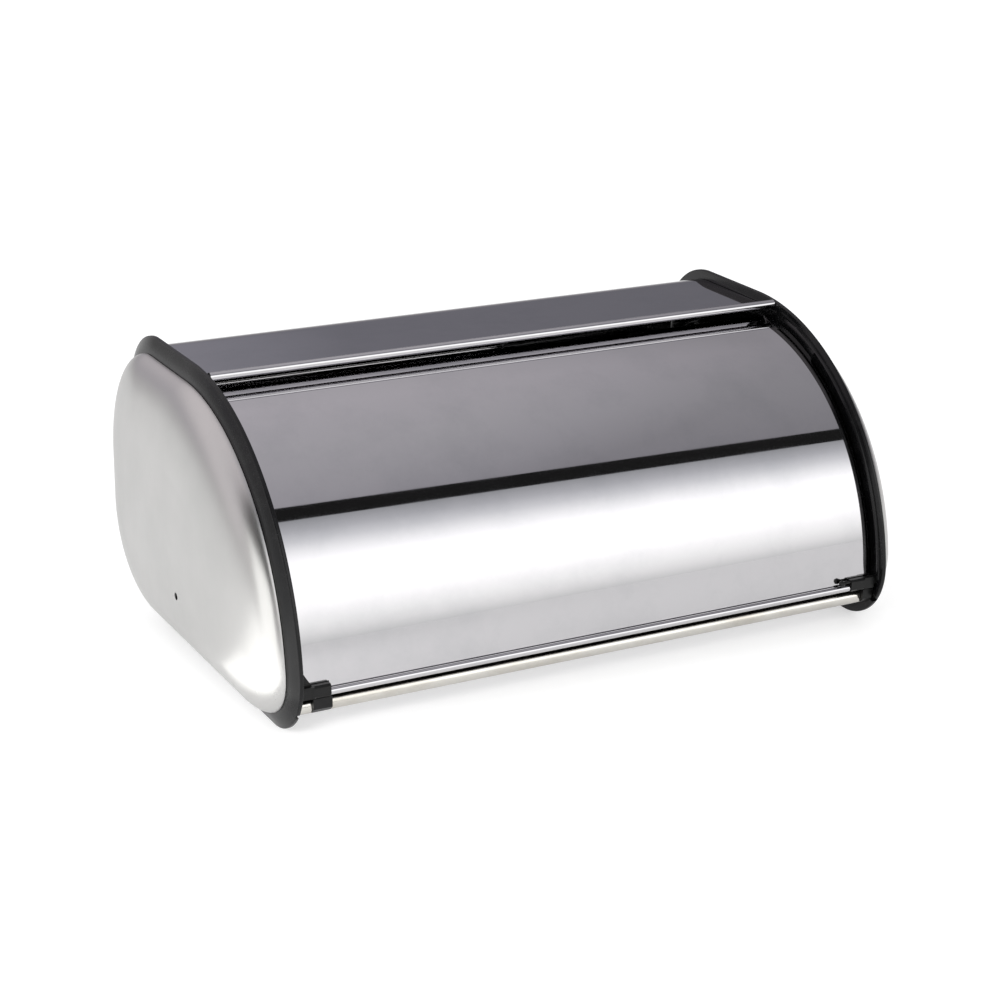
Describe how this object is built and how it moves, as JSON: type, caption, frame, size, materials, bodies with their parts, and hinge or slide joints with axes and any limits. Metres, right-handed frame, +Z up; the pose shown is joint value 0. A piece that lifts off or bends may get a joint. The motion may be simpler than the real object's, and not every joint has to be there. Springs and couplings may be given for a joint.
{
  "type": "roll-top bread box",
  "caption": "Low steel bread box with domed satin ends in dark plastic frames, a polished top and a curved lid that rolls up and back inside it.",
  "frame": {"origin": "middle of the footprint, on the surface the box stands on", "axes": "+X to the right-hand end along the width, -Y the front with the lid, +Z up"},
  "size_m": [0.4432, 0.2619, 0.1805],
  "materials": {
    "frame": "satin black moulded plastic",
    "cap": "satin stainless steel",
    "sheet": "mirror-polished stainless steel sheet",
    "rail": "bright rolled stainless steel",
    "slider": "black moulded plastic with a low sheen",
    "screw": "plain steel"
  },
  "bodies": {
    "box": {"end_frame_right": "frame", "end_frame_left": "frame", "end_cap_right": "cap", "end_cap_left": "cap", "upper_shell": "sheet", "floor_pan": "sheet", "front_rail": "rail", "lid_stop_right": "slider", "lid_stop_left": "slider", "screw_front_right": "screw", "screw_front_left": "screw", "screw_rear_right": "screw", "screw_rear_left": "screw", "screw_back_right": "screw", "screw_back_left": "screw"},
    "lid": {"lid_sheet": "sheet", "lid_slider_right": "slider", "lid_slider_left": "slider", "lid_rear_slider_right": "slider", "lid_rear_slider_left": "slider"}
  },
  "joints": [
    {"name": "lid_roll", "type": "hinge", "parent": "box", "child": "lid", "pos_m": [0, 0.02199, 0.027], "axis": [-1, 0, 0], "range_deg": [0, 50]}
  ]
}
